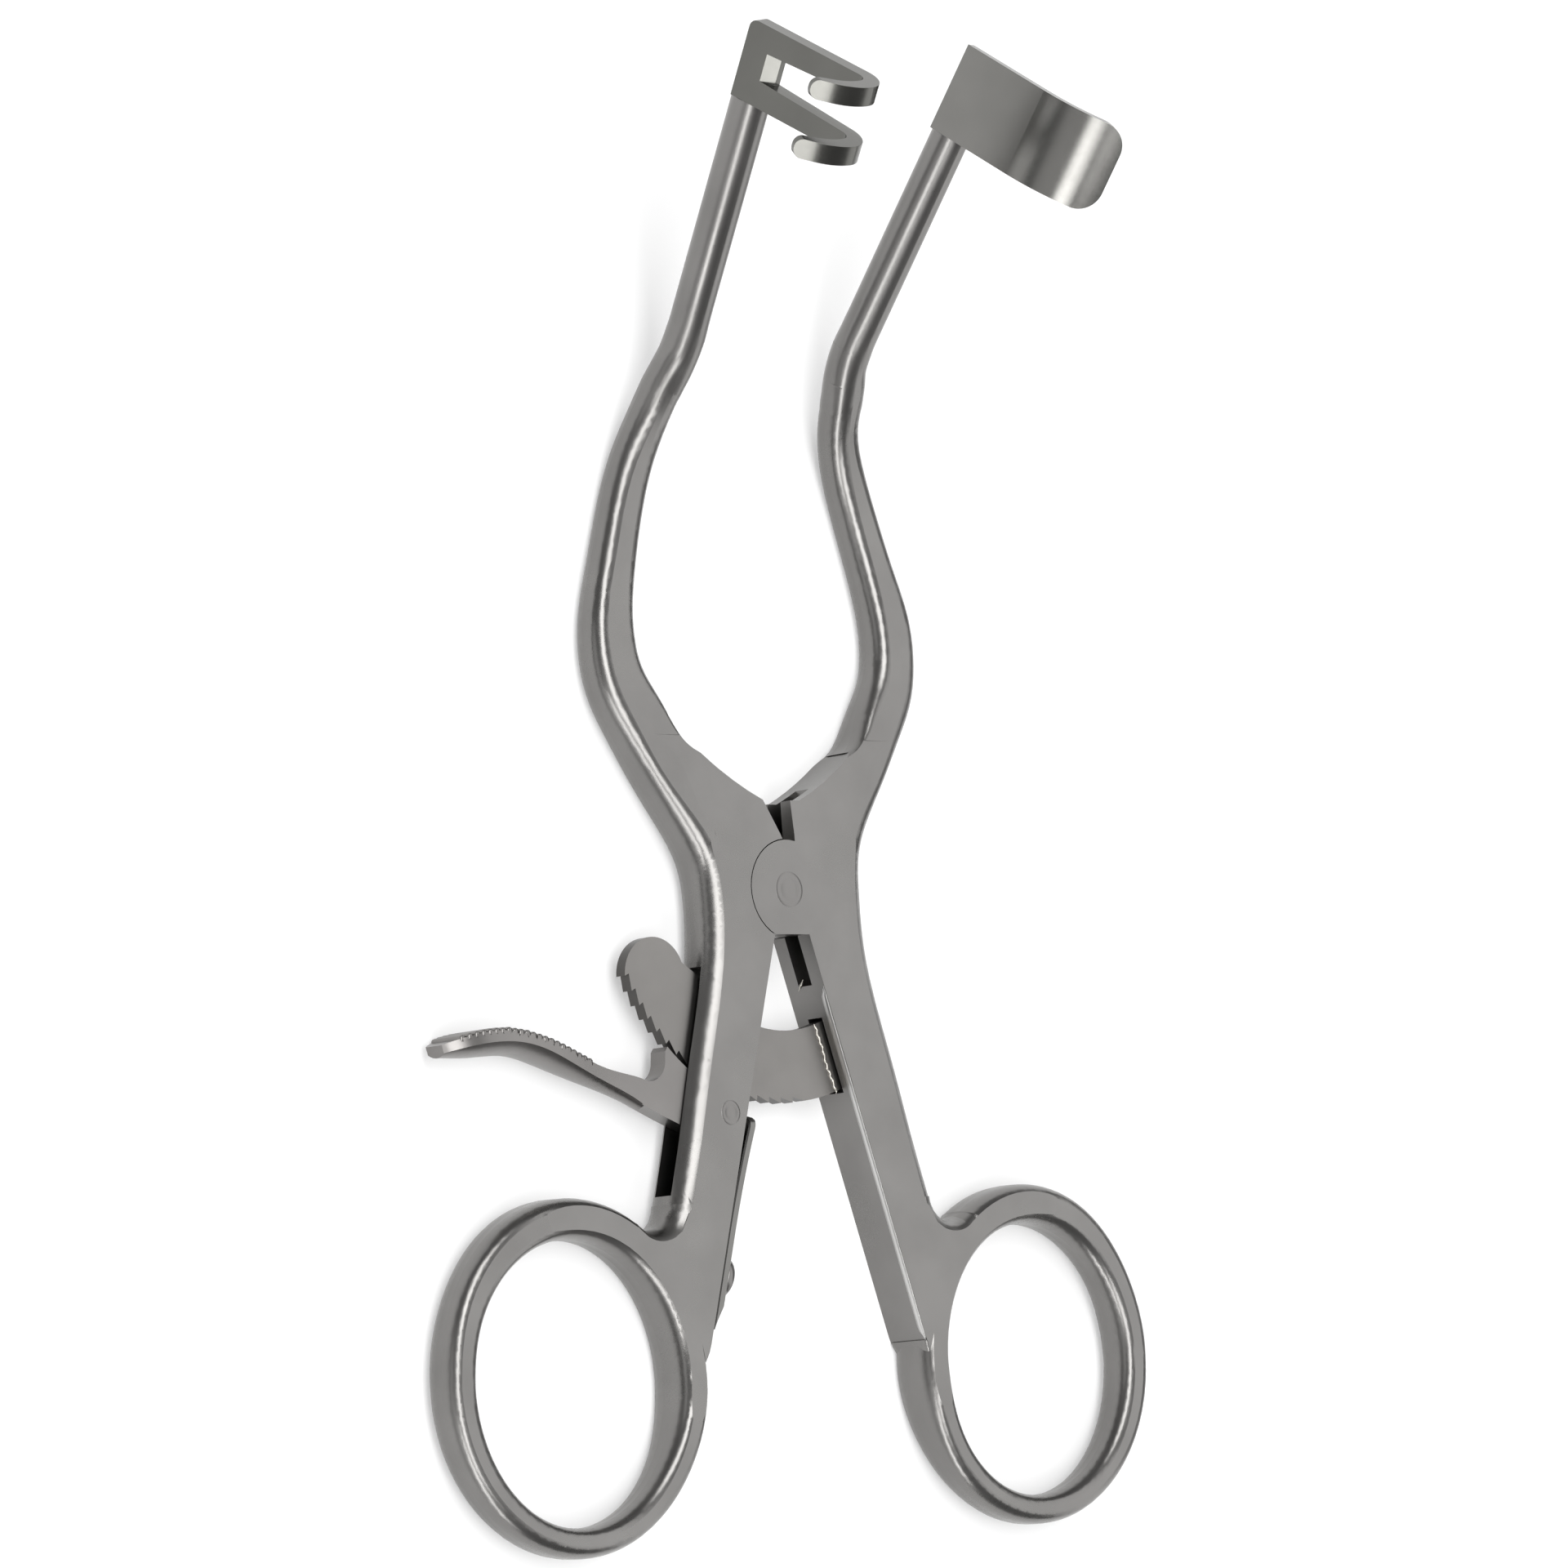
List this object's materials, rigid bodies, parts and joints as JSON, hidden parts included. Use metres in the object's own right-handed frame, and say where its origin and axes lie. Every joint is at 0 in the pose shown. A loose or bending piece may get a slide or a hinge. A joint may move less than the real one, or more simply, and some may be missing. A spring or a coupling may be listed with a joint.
{
  "type": "self retaining retractor",
  "caption": "Ring handled surgical retractor: a fork and a solid blade on curved arms in a knuckle joint, held open by a ratchet bar and a sprung release lever.",
  "frame": {"origin": "on the axis of the knuckle joint, on the flat back face that the instrument lies on", "axes": "+X towards the arm with the solid blade, +Y along the instrument from the rings to the blades, +Z out of the front face, along the joint's pin"},
  "size_m": [0.085, 0.1342, 0.0376],
  "materials": {
    "satin_steel": "satin",
    "blade_steel": "satin",
    "ratchet_steel": "satin",
    "lever_steel": "satin",
    "pin_steel": "satin",
    "spring_steel": "satin"
  },
  "bodies": {
    "fork_side": {"left_arm": "satin_steel", "fork_blade": "blade_steel", "lever_pin": "pin_steel", "leaf_spring": "spring_steel", "spring_screw": "pin_steel"},
    "blade_side": {"right_arm": "satin_steel", "solid_blade": "blade_steel", "ratchet_bar": "ratchet_steel", "lock_pin": "pin_steel"},
    "lever": {"release_lever": "lever_steel"}
  },
  "joints": [
    {"name": "arm_pivot", "type": "hinge", "parent": "fork_side", "child": "blade_side", "pos_m": [0, 0, 0], "axis": [0, 0, 1], "range_deg": [-26, 16]},
    {"name": "lever_pivot", "type": "hinge", "parent": "fork_side", "child": "lever", "pos_m": [-0.0089, -0.0202, 0.0025], "axis": [0, 0, 1], "range_deg": [0, 12], "stiffness_Nm_per_rad": 0.05, "springref_deg": -11.46, "deforming": ["leaf_spring"]}
  ]
}
